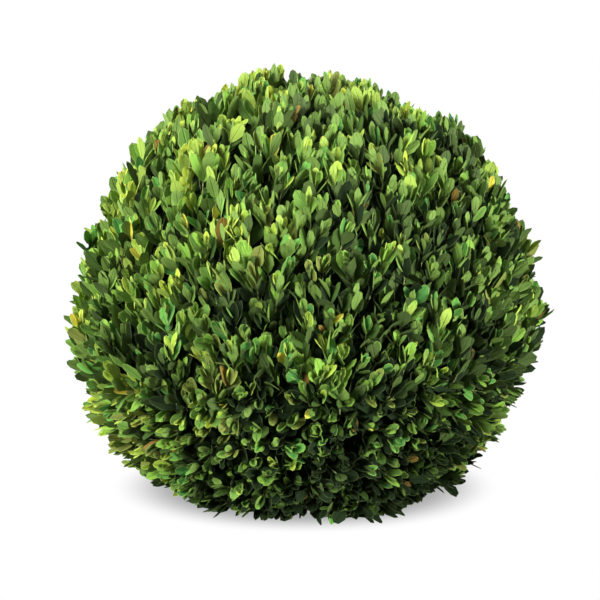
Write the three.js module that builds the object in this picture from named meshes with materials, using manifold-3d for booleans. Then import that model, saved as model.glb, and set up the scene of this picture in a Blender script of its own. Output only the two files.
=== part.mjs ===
// A clipped box ball: a short trunk under a dense rounded crown of leafy sprigs, set down on
// level ground. The crown keeps to three masses, one above the other, each round the trunk.
// Millimetres, +Z up. The origin is the middle of the flat cut under the trunk.

import * as THREE from "three";
import { mergeVertices } from "three/addons/utils/BufferGeometryUtils.js";
import Module from "manifold-3d";

const wasm = await Module();
wasm.setup();

// ---- Driving dimensions --------------------------------------------------------------

// The ball's outline at the leaf tips: two half ellipsoids that meet at the widest level.
// The lower one is cut off by the ground, so the ball sits on a round flat foot.
const WIDTH = 520;
const WIDEST_LEVEL = 187;
const RISE = 285;
const DROP = 224;

// The heights on the outline at which one mass of foliage ends and the next begins.
const PARTING = 126; // the furrow, where the leaves turn from rising to hanging
const SHOULDER = 290;

// How the sprigs stand: rising above the parting, hanging below it.
const RISING_LEAN = 1.25;
const HANGING_LEAN = -0.8;
const PARTING_BAND = 30; // half the height over which the lean changes

const CORE_DEPTH = 36; // from the outline in to the dense core
const CORE_ROUGHNESS = 5; // how far the core's skin stands off that, in or out
const SEAM_DEPTH = 52; // from the outline in to where a seam turns level
const CORE_SIDES = 20;
const CORE_STEPS = 5; // rings in one mass's core
const CORE_FOOT = 8; // the core's underside above the ground

const SPRIGS = 202;
const TWIG_RADIUS = 3.2;
const TWIG_SHORT_OF_TIP = 46; // from the outline back to the twig's end
const ROOT_DEPTH = 15; // how deep a twig's root is sunk in the core
const SPRIG_SWAY = 0.13; // how far a seeded draw swings a sprig
const ROOT_TRIES = 3;
const SPRIG_TRIES = 6;

const LEAF_LENGTH = 54;
const LEAF_WIDTH = 31;
const LEAF_THICKNESS = 3;
const LEAF_SUNK = 4; // how deep a leaf's base is sunk in its twig
const LEAF_TRIES = 8;
const SHRINK_PER_TRY = 0.04;

// How far the seeded draws spread the leaves, in radians or as a share of the whole.
const TURN_SPREAD = 0.6;
const SPLAY_SPREAD = 0.4;
const FACING_SPREAD = 0.8;
const SIZE_SPREAD = 0.12;
const SIDE_SWAY = 0.4;
const FIRST_LEAF_USE = 10; // the draws before this one belong to the sprig
const USES_PER_TRY = 4;

const TRUNK_RADIUS = 21; // above the root flare
const TRUNK_TIP_RADIUS = 12;
const TRUNK_HEIGHT = 330;
const TRUNK_LEAN = 14; // how far the tip stands off to +X
const TRUNK_SIDES = 14;
const TRUNK_STEPS = 9;
const FLARE = 17; // the root flare's spread at the ground
const FLARE_HEIGHT = 38;
const FLARE_LOBES = 4;

const CLEARANCE = 0.3; // between the trunk and what is round it
const SEAM_GAP = 0.25; // from a seam to the core on each side of it
const LEAF_GAP = 0.7; // from a seam to the leaves on each side of it
const GROUND_GAP = 1.5; // from the ground to the lowest leaf
const OVERREACH = 5; // how far a tip may stand past the outline
const FINEST = 0.03; // the smallest step kept where pieces are joined
const MERGED = 0.001; // points closer together than this are one

const SEED = 1; // picks one of the many balls that the same rule grows
const GOLDEN_ANGLE = Math.PI * (3 - Math.sqrt(5));
const UP = new THREE.Vector3(0, 0, 1);
const CONE_AXIS = new THREE.Vector3(0, 1, 0); // the way a cone geometry points
const CENTRE = new THREE.Vector3(0, 0, WIDEST_LEVEL);

// ---- Small helpers -------------------------------------------------------------------

// A repeatable draw between -1 and 1, for piece number i and use number k.
function draw(i, k) {
  const wave = Math.sin(i * 12.9898 + k * 78.233 + SEED) * 43758.5453;
  return 2 * (wave - Math.floor(wave)) - 1;
}

// A closed three.js geometry as a solid that can be joined and cut.
function solidOf(geometry) {
  const bare = new THREE.BufferGeometry();
  bare.setAttribute("position", geometry.getAttribute("position"));
  bare.setIndex(geometry.getIndex());
  const merged = mergeVertices(bare, MERGED);
  const corners = merged.getIndex().array;
  const kept = [];
  for (let i = 0; i < corners.length; i += 3) {
    const [a, b, c] = corners.subarray(i, i + 3);
    if (a !== b && b !== c && c !== a) kept.push(a, b, c);
  }
  const vertProperties = merged.getAttribute("position").array;
  return new wasm.Manifold(new wasm.Mesh({ numProp: 3, vertProperties, triVerts: new Uint32Array(kept) }));
}

// A solid as a three.js geometry with one flat normal to each face.
function geometryOf(solid) {
  const mesh = solid.getMesh();
  const geometry = new THREE.BufferGeometry();
  geometry.setAttribute("position", new THREE.BufferAttribute(mesh.vertProperties, 3));
  geometry.setIndex(new THREE.BufferAttribute(mesh.triVerts, 1));
  const faceted = geometry.toNonIndexed();
  faceted.computeVertexNormals();
  return faceted;
}

// The largest of a solid's bodies, without its finest slivers, its loose scraps and its sealed
// hollows. Merging the points first parts bodies that only touch.
function largestBody(solid) {
  const settled = solidOf(geometryOf(solid.simplify(FINEST)));
  return settled.decompose().sort((a, b) => b.volume() - a.volume())[0];
}

// A profile of [radius, height] points, listed from the bottom up, turned about the Z axis.
function turned(profile, sides) {
  const points = profile.map(([radius, height]) => new THREE.Vector2(radius, height));
  return new THREE.LatheGeometry(points, sides).rotateX(Math.PI / 2);
}

// ---- The ball's outline --------------------------------------------------------------

// The outline's half height on the side of the widest level that a height is on.
function halfHeight(above) {
  return above >= 0 ? RISE : DROP;
}

// How far the outline lies from the centre, in the direction of a unit vector.
function reach(direction) {
  const level = Math.hypot(direction.x, direction.y) / (WIDTH / 2);
  return 1 / Math.hypot(level, direction.z / halfHeight(direction.z));
}

// The outline's outward normal at a point on it.
function outlineNormal(point) {
  const above = point.z - WIDEST_LEVEL;
  const radial = (WIDTH / 2) ** 2;
  return new THREE.Vector3(point.x / radial, point.y / radial, above / halfHeight(above) ** 2).normalize();
}

// The outline's radius at a height.
function outlineRadius(height) {
  const above = height - WIDEST_LEVEL;
  return (WIDTH / 2) * Math.sqrt(Math.max(0, 1 - (above / halfHeight(above)) ** 2));
}

// The direction in which a sprig stands at a point on the outline: the normal, leaned up or down.
function sprigDirection(point) {
  const normal = outlineNormal(point);
  const risen = THREE.MathUtils.smoothstep(point.z, PARTING - PARTING_BAND, PARTING + PARTING_BAND);
  const lean = THREE.MathUtils.lerp(HANGING_LEAN, RISING_LEAN, risen);
  const uphill = UP.clone().addScaledVector(normal, -normal.z);
  return normal.addScaledVector(uphill, lean).normalize();
}

// ---- The seams between the masses ----------------------------------------------------

// A seam is a line in the radius and height plane, turned about the trunk. From the outline it
// runs in along the lie of the sprigs to the core, and then level to the trunk.
function seamAt(height) {
  const rim = new THREE.Vector3(outlineRadius(height), 0, height);
  const along = sprigDirection(rim);
  const inner = rim.clone().addScaledVector(along, -SEAM_DEPTH / along.dot(outlineNormal(rim)));
  return { rim, along, skin: coreCrossing(rim, along), inner };
}

// Where a line that runs in from the outline meets the core's skin, which is the same outline
// with every half axis shorter by the core's depth: the nearer root of a quadratic.
function coreCrossing(rim, along) {
  const across = WIDTH / 2 - CORE_DEPTH;
  const up = halfHeight(rim.z - WIDEST_LEVEL) - CORE_DEPTH;
  const start = new THREE.Vector2(rim.x / across, (rim.z - WIDEST_LEVEL) / up);
  const step = new THREE.Vector2(along.x / across, along.z / up);
  const half = start.dot(step);
  const spare = Math.sqrt(half ** 2 - step.lengthSq() * (start.lengthSq() - 1));
  return rim.clone().addScaledVector(along, (spare - half) / step.lengthSq());
}

// The lie of the seam nearest a point on a mass's outline, on that point's side of the trunk.
function seamLie(mass, point) {
  const seams = [mass.above, mass.below].filter(Boolean);
  const distance = (seam) => Math.abs(seam.rim.z - point.z);
  const { along } = seams.sort((a, b) => distance(a) - distance(b))[0];
  const angle = Math.atan2(point.y, point.x);
  return new THREE.Vector3(along.x * Math.cos(angle), along.x * Math.sin(angle), along.z);
}

// How far a point stands above a seam.
function heightOver(seam, point) {
  const radius = Math.hypot(point.x, point.y);
  if (radius < seam.inner.x) return point.z - seam.inner.z;
  return (point.z - seam.rim.z) * seam.along.x - (radius - seam.rim.x) * seam.along.z;
}

const parting = seamAt(PARTING);
const shoulder = seamAt(SHOULDER);
const masses = [
  { name: "foliage_skirt", colour: 0x3c5a22, from: 0, to: PARTING, above: null, below: parting },
  { name: "foliage_flank", colour: 0x4d7a2a, from: PARTING, to: SHOULDER, above: parting, below: shoulder },
  { name: "foliage_crown", colour: 0x6f9c34, from: SHOULDER, to: Infinity, above: shoulder, below: null },
];

// Whether a point lies in a mass's own space, a gap clear of its seams and of the ground.
function inSpace(mass, point, overreach) {
  const out = point.clone().sub(CENTRE);
  const distance = out.length();
  const underOutline = distance <= reach(out.normalize()) + overreach;
  const overSeam = !mass.above || heightOver(mass.above, point) >= LEAF_GAP;
  const underSeam = !mass.below || heightOver(mass.below, point) <= -LEAF_GAP;
  return underOutline && overSeam && underSeam && point.z >= GROUND_GAP;
}

// ---- Trunk ---------------------------------------------------------------------------

// The trunk's radius at a height and angle: a taper, with a lobed root flare at its foot.
function trunkRadius(height, angle) {
  const up = THREE.MathUtils.clamp(height / TRUNK_HEIGHT, 0, 1);
  const taper = THREE.MathUtils.lerp(TRUNK_RADIUS, TRUNK_TIP_RADIUS, up);
  const foot = Math.max(0, 1 - height / FLARE_HEIGHT) ** 2;
  return taper + FLARE * foot * (0.75 + 0.25 * Math.cos(FLARE_LOBES * angle));
}

// The trunk, grown on all sides by some amount: it tapers and leans from its flat cut to its tip.
function trunk(grown = 0) {
  const profile = [[0, 0]];
  for (let step = 0; step <= TRUNK_STEPS; step++) {
    profile.push([1, TRUNK_HEIGHT * (step / TRUNK_STEPS) ** 1.6]);
  }
  profile.push([0, TRUNK_HEIGHT + TRUNK_TIP_RADIUS / 2]);
  const geometry = turned(profile, TRUNK_SIDES);
  const position = geometry.getAttribute("position");
  const point = new THREE.Vector3();
  for (let i = 0; i < position.count; i++) {
    point.fromBufferAttribute(position, i);
    const angle = Math.atan2(point.y, point.x);
    const radius = Math.hypot(point.x, point.y) * (trunkRadius(point.z, angle) + grown);
    const lean = TRUNK_LEAN * (point.z / TRUNK_HEIGHT) ** 2;
    const height = point.z > 0 ? point.z + (point.z / TRUNK_HEIGHT) * grown : -grown;
    position.setXYZ(i, radius * Math.cos(angle) + lean, radius * Math.sin(angle), height);
  }
  return solidOf(geometry);
}

// ---- Foliage -------------------------------------------------------------------------

// The core's radius at a height: the outline's own shape, smaller by the core's depth.
function coreRadius(height) {
  const above = height - WIDEST_LEVEL;
  const across = WIDTH / 2 - CORE_DEPTH;
  return across * Math.sqrt(Math.max(0, 1 - (above / (halfHeight(above) - CORE_DEPTH)) ** 2));
}

// A seam's two corners on the core of the mass that lies on one side of it.
function seamCorners(seam, side) {
  const shift = (side * SEAM_GAP) / seam.along.x;
  return [seam.inner, seam.skin].map((corner) => [corner.x, corner.z + shift]);
}

// The dense core of one mass, from its lower seam or the ground to its upper seam or the top.
function core(mass) {
  const bottom = mass.above ? seamCorners(mass.above, 1) : [[coreRadius(CORE_FOOT), CORE_FOOT]];
  const top = mass.below ? seamCorners(mass.below, -1).reverse() : [];
  const low = bottom.at(-1)[1];
  const high = mass.below ? top[0][1] : WIDEST_LEVEL + RISE - CORE_DEPTH;
  const profile = [[0, bottom[0][1]], ...bottom];
  for (let step = 1; step < CORE_STEPS; step++) {
    const share = step / CORE_STEPS;
    const height = THREE.MathUtils.lerp(low, high, mass.below ? share : Math.sin((share * Math.PI) / 2));
    profile.push([coreRadius(height), height]);
  }
  profile.push(...top, [0, mass.below ? top.at(-1)[1] : high]);
  const geometry = turned(profile, CORE_SIDES);
  roughen(geometry, bottom.length, bottom.length + CORE_STEPS - 1);
  return solidOf(geometry);
}

// Moves the points of a turned core's middle rings in or out by a seeded draw.
function roughen(geometry, firstRing, lastRing) {
  const position = geometry.getAttribute("position");
  const rings = position.count / (CORE_SIDES + 1);
  const point = new THREE.Vector3();
  for (let i = 0; i < position.count; i++) {
    const ring = i % rings;
    if (ring <= firstRing || ring > lastRing) continue;
    const side = Math.floor(i / rings) % CORE_SIDES;
    point.fromBufferAttribute(position, i);
    point.addScaledVector(outlineNormal(point), CORE_ROUGHNESS * draw(side + 1, point.z));
    position.setXYZ(i, point.x, point.y, point.z);
  }
}

// A leaf's corners, from its base at the origin along +X: five round its rim, one on its keel.
const LEAF_CORNERS = [
  [0, 0, 0],
  [0.56, -0.5, 0],
  [0.97, -0.2, 0],
  [0.97, 0.2, 0],
  [0.56, 0.5, 0],
  [0.5, 0, 1],
];
const LEAF_FACES = [0, 1, 5, 1, 2, 5, 2, 3, 5, 3, 4, 5, 4, 0, 5, 0, 4, 3, 0, 3, 2, 0, 2, 1];

// A leaf placed by its base, its direction, the direction across it and its size.
function leafCorners(base, direction, across, size) {
  const outward = direction.clone().cross(across);
  return LEAF_CORNERS.map(([along, side, keel]) =>
    base
      .clone()
      .addScaledVector(direction, along * LEAF_LENGTH * size)
      .addScaledVector(across, side * LEAF_WIDTH * size)
      .addScaledVector(outward, keel * LEAF_THICKNESS * size),
  );
}

function leafSolid(corners) {
  const geometry = new THREE.BufferGeometry().setFromPoints(corners);
  geometry.setIndex(LEAF_FACES);
  return solidOf(geometry);
}

// A three-sided twig that tapers from its root to a point.
function twigSolid(root, tip) {
  const along = tip.clone().sub(root);
  const length = along.length();
  const cone = new THREE.ConeGeometry(TWIG_RADIUS, length, 3).translate(0, length / 2, 0);
  cone.applyQuaternion(new THREE.Quaternion().setFromUnitVectors(CONE_AXIS, along.normalize()));
  return solidOf(cone.translate(root.x, root.y, root.z));
}

// The leaves of a sprig: how far back from the twig's end each one stands, how far it opens from
// the sprig's direction, and at which side of it.
const SPRIG_LEAVES = [
  { back: 0, splay: 0.15, turn: 0 },
  { back: 3, splay: 0.85, turn: Math.PI * 0.45 },
  { back: 7, splay: 0.85, turn: -Math.PI * 0.45 },
];

// Whether a solid enters the core of another mass.
function entersOther(solid, mass) {
  return masses.some((other) => other !== mass && !solid.intersect(other.core).isEmpty());
}

// A sprig's twig ends short of its tip. Its root lies under its end, sunk in the core, straight
// in from the outline or along the lie of the sprig, whichever keeps it in its mass.
function twig(mass, tip, direction) {
  const end = tip.clone().addScaledVector(direction, -TWIG_SHORT_OF_TIP);
  if (!inSpace(mass, end, 0)) return null;
  const out = end.clone().sub(CENTRE);
  const depth = reach(out.clone().normalize()) - out.length();
  for (let attempt = 0; attempt < ROOT_TRIES; attempt++) {
    const lie = outlineNormal(end).lerp(direction, attempt / (ROOT_TRIES - 1)).normalize();
    const root = end.clone().addScaledVector(lie, depth - CORE_DEPTH - ROOT_DEPTH);
    const solid = twigSolid(root, end);
    if (inSpace(mass, root, 0) && !entersOther(solid, mass)) return { end, lie, direction, solid };
  }
  return null;
}

// A leaf on a twig, drawn again until it keeps to its mass, or none. Its base is sunk in the
// twig, it opens to one side of the sprig's direction, and its blade faces out of the ball.
function leaf(mass, number, place, normal, stalk) {
  const { back, splay, turn } = SPRIG_LEAVES[place];
  const { end, lie, direction } = stalk;
  const base = end.clone().addScaledVector(lie, -back - LEAF_SUNK);
  const side = normal.clone().addScaledVector(sway(number), SIDE_SWAY);
  side.addScaledVector(direction, -side.dot(direction)).normalize();
  for (let attempt = 0; attempt < LEAF_TRIES; attempt++) {
    const use = FIRST_LEAF_USE + USES_PER_TRY * (place * LEAF_TRIES + attempt);
    const away = side.clone().applyAxisAngle(direction, turn + TURN_SPREAD * draw(number, use));
    const opened = splay * (1 + SPLAY_SPREAD * draw(number, use + 1));
    const along = direction.clone().applyAxisAngle(direction.clone().cross(away), opened);
    const facing = normal.clone().addScaledVector(away, FACING_SPREAD * draw(number, use + 2));
    const size = 1 + SIZE_SPREAD * draw(number, use + 3) - SHRINK_PER_TRY * attempt;
    const corners = leafCorners(base, along, facing.cross(along).normalize(), size);
    if (!corners.every((corner) => inSpace(mass, corner, OVERREACH))) continue;
    const solid = leafSolid(corners);
    if (!entersOther(solid, mass)) return solid;
  }
  return null;
}

// A sprig's own small sideways swing.
function sway(number) {
  return new THREE.Vector3(draw(number, 1), draw(number, 2), draw(number, 3));
}

// One sprig's solids, grown by the seeded rule. Where its twig doesn't fit its mass it is drawn
// again, closer to the lie of the nearest seam, and one that never fits is left out.
function sprig(mass, number, tip) {
  const wanted = sprigDirection(tip).addScaledVector(sway(number), SPRIG_SWAY);
  let stalk = null;
  for (let attempt = 0; attempt < SPRIG_TRIES && !stalk; attempt++) {
    const share = attempt / (SPRIG_TRIES - 1);
    stalk = twig(mass, tip, wanted.clone().lerp(seamLie(mass, tip), share).normalize());
  }
  if (!stalk) return [];
  const normal = outlineNormal(tip);
  const leaves = SPRIG_LEAVES.map((_, place) => leaf(mass, number, place, normal, stalk));
  return [stalk.solid, ...leaves.filter(Boolean)];
}

for (const mass of masses) mass.core = core(mass);

// The sprigs' tips lie on the outline on a spiral that spreads them evenly over it.
const tips = [];
const lowest = -WIDEST_LEVEL / Math.hypot(outlineRadius(0), WIDEST_LEVEL);
for (let i = 0; i < SPRIGS; i++) {
  const rise = THREE.MathUtils.lerp(lowest, 1, (i + 0.5) / SPRIGS);
  const level = Math.sqrt(1 - rise * rise);
  const turn = i * GOLDEN_ANGLE;
  const out = new THREE.Vector3(level * Math.cos(turn), level * Math.sin(turn), rise);
  tips.push(CENTRE.clone().addScaledVector(out, reach(out)));
}

// One mass: its core and the sprigs whose tips lie between its seams, all joined, with the
// trunk's room cut out. The largest body is kept, which drops scraps and fills sealed hollows.
function foliage(mass) {
  let joined = mass.core;
  tips.forEach((tip, number) => {
    if (tip.z < mass.from || tip.z >= mass.to) return;
    for (const solid of sprig(mass, number, tip)) joined = joined.add(solid);
  });
  return largestBody(joined.subtract(trunk(CLEARANCE)));
}

// ---- The part ------------------------------------------------------------------------

function named(name, solid, color, roughness) {
  const material = new THREE.MeshStandardMaterial({ color, roughness, metalness: 0 });
  const mesh = new THREE.Mesh(geometryOf(solid), material);
  mesh.name = name;
  return mesh;
}

const group = new THREE.Group();
group.add(named("trunk", trunk(), 0x8a7a5c, 0.85));
for (const mass of masses) group.add(named(mass.name, foliage(mass), mass.colour, 0.6));

export default group;
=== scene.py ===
# %% [markdown]
# # A clipped box ball
# The object is a round shrub about half a metre across. A short trunk that nobody sees carries boughs,
# the boughs carry branches, and the branches end in some two thousand leafy sprigs whose tips make
# the ball. Most of the leaves stand up and outwards. Low down a furrow runs round the ball, and the
# sprigs under it stand out level.
#
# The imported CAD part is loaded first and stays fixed. It gives the box the plant has to stay in, and
# the rule it was grown by is written again here with finer numbers. Lengths in this script are in
# millimetres until a mesh is made, because leaves and bark are easier to think of that way.

import math

import bpy
import numpy as np
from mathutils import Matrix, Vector


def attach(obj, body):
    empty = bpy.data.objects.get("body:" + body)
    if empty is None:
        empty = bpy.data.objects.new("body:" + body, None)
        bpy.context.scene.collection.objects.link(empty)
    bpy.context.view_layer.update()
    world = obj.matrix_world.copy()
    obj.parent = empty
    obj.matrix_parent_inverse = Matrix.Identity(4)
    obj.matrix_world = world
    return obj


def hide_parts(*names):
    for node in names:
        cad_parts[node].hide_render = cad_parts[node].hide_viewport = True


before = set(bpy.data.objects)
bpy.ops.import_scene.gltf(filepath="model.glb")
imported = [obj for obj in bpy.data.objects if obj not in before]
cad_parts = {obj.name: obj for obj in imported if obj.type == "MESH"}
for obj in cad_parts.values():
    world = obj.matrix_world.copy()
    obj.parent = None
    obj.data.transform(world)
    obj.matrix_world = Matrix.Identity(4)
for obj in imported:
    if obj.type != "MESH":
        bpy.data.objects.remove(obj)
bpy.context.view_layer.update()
MASSES = ["foliage_skirt", "foliage_flank", "foliage_crown"]

# %% [markdown]
# ## Vectors by the thousand
# Every leaf needs a direction, a side and a face, so the small vector sums are written once for
# whole arrays: the last axis of an array holds x, y and z.
#
# The source draws its chances from a sine wave that is far too fast to follow, so that a sprig's
# number and a channel always give the same draw. The same wave is used here, which keeps every run
# of this script alike. Each kind of chance has a channel of its own.

# %% Array helpers
SEED = 1


def unit(vectors):
    """Each vector divided by its own length."""
    return vectors / np.maximum(np.linalg.norm(vectors, axis=-1, keepdims=True), 1e-9)


def dot(a, b):
    """The sum of the products of the coordinates, kept as a column so that it can scale vectors."""
    return np.sum(a * b, axis=-1, keepdims=True)


def draw(number, channel):
    """From -1 to 1: twice the fraction of a very fast sine wave of number and channel, less one."""
    wave = np.sin(number * 12.9898 + channel * 78.233 + SEED) * 43758.5453
    return 2 * (wave - np.floor(wave)) - 1


def draws(number, channels):
    """A vector of three draws, one per channel."""
    return np.stack([draw(number, channel) for channel in channels], axis=-1)


def smooth_step(value, low, high):
    """From 0 below low to 1 above high, by the cubic 3t^2 - 2t^3 in between."""
    t = np.clip((value - low) / (high - low), 0, 1)
    return t * t * (3 - 2 * t)


def mix(a, b, share):
    """a where share is 0, b where it is 1, and straight between."""
    return a + (b - a) * share


# %% [markdown]
# ## The ball's outline
# Shears made this shape: half an ellipsoid above the widest level and a flatter one below it, cut
# off by the ground. No ball is clipped perfectly, so slow waves over the surface push it in and out
# by a few millimetres, and a groove follows the furrow. A ring of swellings and hollows, each one
# a direction and a push, gives the ball the uneven rim that it shows from the front.
#
# The furrow is where sprigs that rise part from sprigs that stand out level. It isn't level itself:
# it runs higher across the front than behind, and higher on the right than on the left.

# %% Outline of the ball
WIDTH, WIDEST_LEVEL, RISE, DROP = 520.0, 187.0, 285.0, 224.0
PARTING, SHOULDER = 126.0, 290.0
FURROW_TO_FRONT, FURROW_TO_RIGHT = 24.0, 9.0
GROOVE_DEPTH, GROOVE_HALF_WIDTH = 13.0, 17.0
WAVE_HEIGHT, TUFT_HEIGHT = 3.0, 3.5
# turn round the rim seen from the front, in degrees from the right, and push in millimetres
SWELLINGS = [(12, 5), (28, -8), (45, 27), (60, -11), (93, -6), (100, -6), (110, -5), (130, 11)]
SWELLINGS += [(150, -6), (165, -9), (180, -14), (196, 5), (226, -14), (240, -6), (256, 21), (270, 6)]
SWELLINGS += [(284, -8), (300, 12), (314, -22), (336, -14), (352, 5)]
SWELLING_SPREAD, VIEW_TILT = 0.02, 0.22
CENTRE = np.array([0.0, 0.0, WIDEST_LEVEL])
UP = np.array([0.0, 0.0, 1.0])
GOLDEN_ANGLE = math.pi * (3 - math.sqrt(5))


def half_height(above):
    """The half axis of the ellipsoid that a level belongs to: RISE over the widest level, DROP under it."""
    return np.where(above >= 0, RISE, DROP)


def reach(way):
    """Distance from the centre to the outline: one over the length of the direction after each
    coordinate is divided by its half axis."""
    flat = np.hypot(way[..., 0], way[..., 1]) / (WIDTH / 2)
    return 1 / np.hypot(flat, way[..., 2] / half_height(way[..., 2]))


def outward(points):
    """The outline's normal under each point: its coordinates over the squares of the half axes."""
    above = points[..., 2] - WIDEST_LEVEL
    flat = points[..., :2] / (WIDTH / 2) ** 2
    return unit(np.concatenate([flat, (above / half_height(above) ** 2)[..., None]], axis=-1))


def outline_radius(level):
    """The ball's radius at a level: its half width times the root of one less the squared height share."""
    above = level - WIDEST_LEVEL
    return WIDTH / 2 * np.sqrt(np.maximum(0, 1 - (above / half_height(above)) ** 2))


def furrow_level(points):
    """The furrow's height there: the parting level, tilted up to the front and to the right."""
    flat = unit(points[..., :2])
    return PARTING - flat[..., 1] * FURROW_TO_FRONT + flat[..., 0] * FURROW_TO_RIGHT


def unevenness(way):
    """How far the clipped surface stands out, in millimetres: slow waves, quicker tufts, and
    each swelling times e to the power of how far the way turns from it. The swellings' ring leans
    back by the view's tilt, so that it is the ball's rim to somebody who looks down a little."""
    x, y, z = way[..., 0], way[..., 1], way[..., 2]
    slow = np.sin(5.1 * x + 2.3 * z + 0.6) + np.sin(4.3 * y - 3.9 * z + 2.1)
    tufts = np.sin(17.3 * x - 9.1 * y + 4.4) + np.sin(15.7 * z + 11.3 * y + 1.2) * np.sin(14.1 * x + 0.7)
    turn, push = np.radians([row[0] for row in SWELLINGS]), np.array([row[1] for row in SWELLINGS])
    swelling_way = unit(np.stack([np.cos(turn), VIEW_TILT * np.sin(turn), np.sin(turn)], axis=-1))
    near = np.exp((way @ swelling_way.T - 1) / SWELLING_SPREAD)
    return WAVE_HEIGHT * slow + TUFT_HEIGHT * tufts + near @ push


print("radius on the ground", round(float(outline_radius(0.0)), 1), "mm")

# %% [markdown]
# ## Camera
# The camera stands a little above the ball, thirteen degrees, and looks along +Y. A long lens keeps
# the ball round.

# %% Camera
CAMERA_RISE = math.radians(13.0)
CAMERA_DISTANCE = 1.84
LENS = 100.0
TARGET = Vector((-0.0055, 0.0, 0.214))

eye = bpy.data.cameras.new("camera")
eye.lens = LENS
eye.sensor_width = 36.0
camera = bpy.data.objects.new("camera", eye)
bpy.context.scene.collection.objects.link(camera)
away = Vector((0, -math.cos(CAMERA_RISE), math.sin(CAMERA_RISE)))
camera.location = TARGET + away * CAMERA_DISTANCE
camera.rotation_euler = (-away).to_track_quat("-Z", "Y").to_euler()
bpy.context.scene.camera = camera

# %% [markdown]
# ## Where the sprigs go
# A spiral that turns by the golden angle and climbs by equal steps spreads any number of tips evenly
# over a ball. The source sets 202 of them on it. This script sets ten times as many on the same
# spiral, each with smaller leaves, and the leaves over the furrow are a little larger than the rest.
#
# Each sprig leans steeply uphill over the furrow and stands out level under it. A sway that
# neighbours share makes tufts, and a draw of its own keeps any two from lying parallel.

# %% Sprig tips and directions
SPRIGS = 2100
TIP_INSET, TIP_SPREAD, SIDE_SPREAD, RISE_SHARE = 19.0, 6.0, 7.0, 0.6
# bands run from one distance to another over the furrow, or under it, in millimetres
RISING_LEAN, RISING_BAND = 1.85, (-8.0, 42.0)
LOW_RISE, LEVEL_BAND = 0.10, (-5.0, 30.0)
LOW_SCALE, HIGH_SCALE, SCALE_BAND = 1.05, 1.11, (-60.0, 60.0)
# the low sway comes in from a level of 150 mm down to one of 60 mm
SWAY, LOW_SWAY, LOW_SWAY_BAND = 0.27, 0.18, (-150.0, -60.0)
TUFT_SIZE, TUFT_SWAY = 22.0, 0.14


def spiral(count, first_level=0.0):
    """Directions on the golden-angle spiral: the rise goes up in equal steps and the turn by one
    golden angle each, from where the outline meets first_level to the top."""
    number = np.arange(count)
    below = WIDEST_LEVEL - first_level
    lowest = -below / math.hypot(float(outline_radius(first_level)), below)
    rise = mix(lowest, 1.0, (number + 0.5) / count)
    flat = np.sqrt(1 - rise**2)
    turn = number * GOLDEN_ANGLE
    return np.stack([flat * np.cos(turn), flat * np.sin(turn), rise], axis=-1)


def growing_way(points):
    """The outline's normal plus the lean times the uphill direction, which comes in over a band at
    the furrow. Under the furrow, what points down in the normal is made up for, so that the way is
    level."""
    normal = outward(points)
    uphill = UP - normal[..., 2:3] * normal
    over = points[..., 2] - furrow_level(points)
    risen = RISING_LEAN * smooth_step(over, *RISING_BAND)
    levelled = (LOW_RISE - np.minimum(normal[..., 2], 0)) * smooth_step(-over, *LEVEL_BAND)
    return unit(normal + risen[..., None] * uphill + levelled[..., None] * UP)


def tuft(points):
    """A sideways push that neighbours share: three waves about forty-five millimetres long."""
    x, y, z = np.moveaxis(points / TUFT_SIZE, -1, 0)
    waves = [
        np.sin(1.1 * y + 1.7 * z) + np.sin(2.3 * y - 0.9 * x),
        np.sin(1.3 * z + 1.9 * x) + np.sin(2.1 * z - 1.2 * y),
        np.sin(1.2 * x + 1.6 * y) + np.sin(2.2 * x - 1.1 * z),
    ]
    return np.stack(waves, axis=-1)


sprig = np.arange(SPRIGS)
way_out = spiral(SPRIGS)
outline_tip = CENTRE + way_out * reach(way_out)[:, None]
over_furrow = outline_tip[:, 2] - furrow_level(outline_tip)
leaf_scale = mix(LOW_SCALE, HIGH_SCALE, smooth_step(over_furrow, *SCALE_BAND))
in_groove = np.exp(-((over_furrow / GROOVE_HALF_WIDTH) ** 2))
tip_reach = (
    reach(way_out)
    + unevenness(way_out)
    - GROOVE_DEPTH * in_groove
    - TIP_INSET * leaf_scale
    + TIP_SPREAD * draw(sprig, 1)
)
tip = CENTRE + way_out * tip_reach[:, None] + SIDE_SPREAD * np.stack(
    [draw(sprig, 5), draw(sprig, 6), RISE_SHARE * draw(sprig, 7)], axis=-1
)
own_sway = draws(sprig, (2, 3, 4))
loose = SWAY + LOW_SWAY * smooth_step(-outline_tip[:, 2:3], *LOW_SWAY_BAND)
sprig_way = unit(growing_way(outline_tip) + loose * own_sway + TUFT_SWAY * tuft(outline_tip))
mass_of = np.where(outline_tip[:, 2] < PARTING, 0, np.where(outline_tip[:, 2] < SHOULDER, 1, 2))
print("sprigs in skirt, flank and crown", np.bincount(mass_of))

# %% [markdown]
# ## Trunk, boughs and branches
# Inside, a clipped shrub is a broom: a short trunk, boughs that leave it at a low angle to the upright
# and branches that fork from the boughs just under the leaves. Hardly any of it shows, but the
# dark lines in the gaps between leaves are these limbs, so they are all here, each starting inside
# the limb that carries it.
#
# A limb is a circle carried along a curved path. The path is a quadratic curve, which leaves its
# root in one direction and arrives at its end in another.

# %% Limb helpers
def curve(start, middle, end, steps):
    """Points of quadratic curves: (1-t)^2 start + 2t(1-t) middle + t^2 end, t in equal steps."""
    t = np.linspace(0, 1, steps)[:, None]
    start, middle, end = (point[..., None, :] for point in (start, middle, end))
    return (1 - t) ** 2 * start + 2 * t * (1 - t) * middle + t**2 * end


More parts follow.
